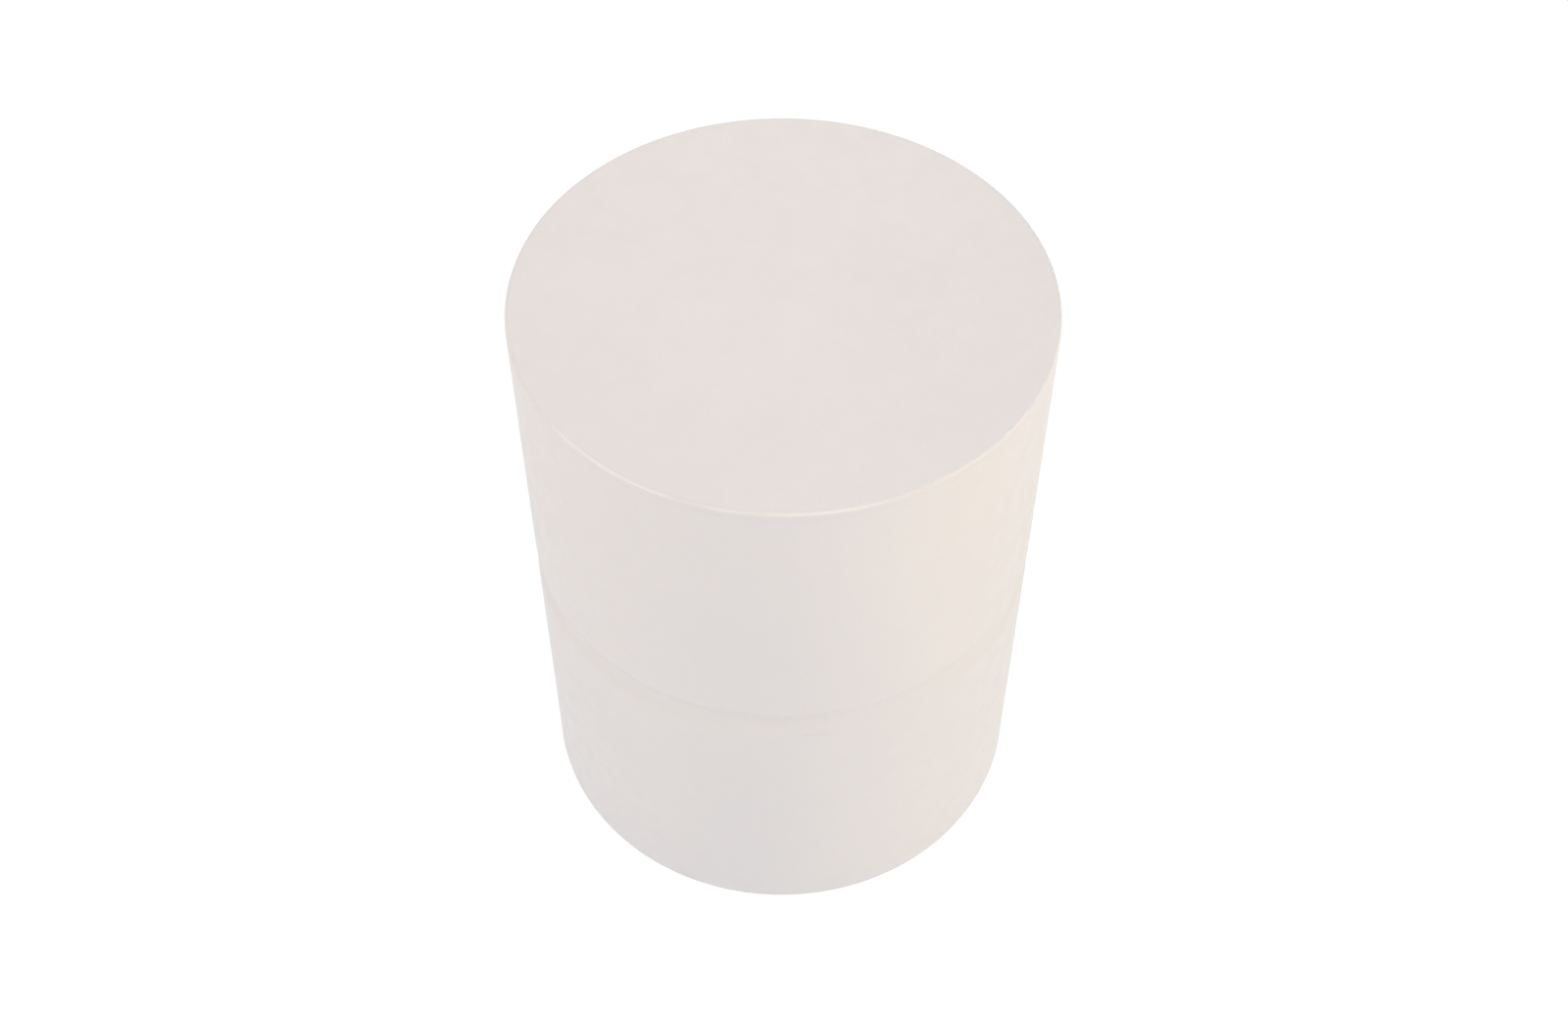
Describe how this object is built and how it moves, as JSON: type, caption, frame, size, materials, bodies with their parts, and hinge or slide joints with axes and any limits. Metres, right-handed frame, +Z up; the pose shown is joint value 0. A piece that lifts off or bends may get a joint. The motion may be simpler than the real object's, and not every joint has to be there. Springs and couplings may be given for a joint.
{
  "type": "chemical drum",
  "caption": "Straight-sided plastic chemical drum with a gripping groove, recessed head, threaded necks with bungs, and a flush lift-off cover.",
  "frame": {"origin": "centre of the foot ring, on the floor the drum stands on", "axes": "+Z up along the drum's axis, -Y towards the front, so the lifting notch is at +Y, and +X towards the vent neck"},
  "size_m": [0.6, 0.6, 0.775],
  "materials": {
    "natural_shell": "satin natural polyethylene",
    "natural_cover": "satin natural polyethylene",
    "seal_foam": "matt closed-cell foam",
    "bung_plastic": "satin moulded plastic",
    "plug_plastic": "satin moulded plastic",
    "seal_rubber": "matt rubber"
  },
  "bodies": {
    "drum": {"drum_body": "natural_shell", "drum_head": "natural_shell", "fill_neck": "natural_shell", "vent_neck": "natural_shell"},
    "cover": {"top_cover": "natural_cover", "cover_gasket": "seal_foam"},
    "fill_seal": {"fill_bung_gasket": "seal_rubber"},
    "fill_closure": {"fill_bung": "bung_plastic"},
    "vent_seal": {"vent_bung_gasket": "seal_rubber"},
    "vent_closure": {"vent_bung": "bung_plastic"},
    "plug_seal": {"vent_plug_gasket": "seal_rubber"},
    "plug_closure": {"vent_plug": "plug_plastic"}
  },
  "joints": [
    {"name": "cover_lift", "type": "slide", "parent": "drum", "child": "cover", "axis": [0, 0, 1], "range_m": [0, 0.15]},
    {"name": "fill_bung_rise", "type": "slide", "parent": "drum", "child": "fill_seal", "axis": [0, 0, 1], "range_m": [0, 0.02]},
    {"name": "fill_bung_turn", "type": "hinge", "parent": "fill_seal", "child": "fill_closure", "pos_m": [-0.205, 0, 0.7283], "axis": [0, 0, 1], "range_deg": [0, 1440]},
    {"name": "vent_bung_rise", "type": "slide", "parent": "drum", "child": "vent_seal", "axis": [0, 0, 1], "range_m": [0, 0.02]},
    {"name": "vent_bung_turn", "type": "hinge", "parent": "vent_seal", "child": "vent_closure", "pos_m": [0.205, 0, 0.7283], "axis": [0, 0, 1], "range_deg": [0, 1440]},
    {"name": "vent_plug_rise", "type": "slide", "parent": "vent_closure", "child": "plug_seal", "axis": [0, 0, 1], "range_m": [0, 0.008]},
    {"name": "vent_plug_turn", "type": "hinge", "parent": "plug_seal", "child": "plug_closure", "pos_m": [0.205, 0, 0.7335], "axis": [0, 0, 1], "range_deg": [0, 1440]}
  ],
  "couplings": [
    {"joint": "fill_bung_rise", "follows": "fill_bung_turn", "m_per_rad": 0.00079577},
    {"joint": "vent_bung_rise", "follows": "vent_bung_turn", "m_per_rad": 0.00079577},
    {"joint": "vent_plug_rise", "follows": "vent_plug_turn", "m_per_rad": 0.00031831}
  ]
}
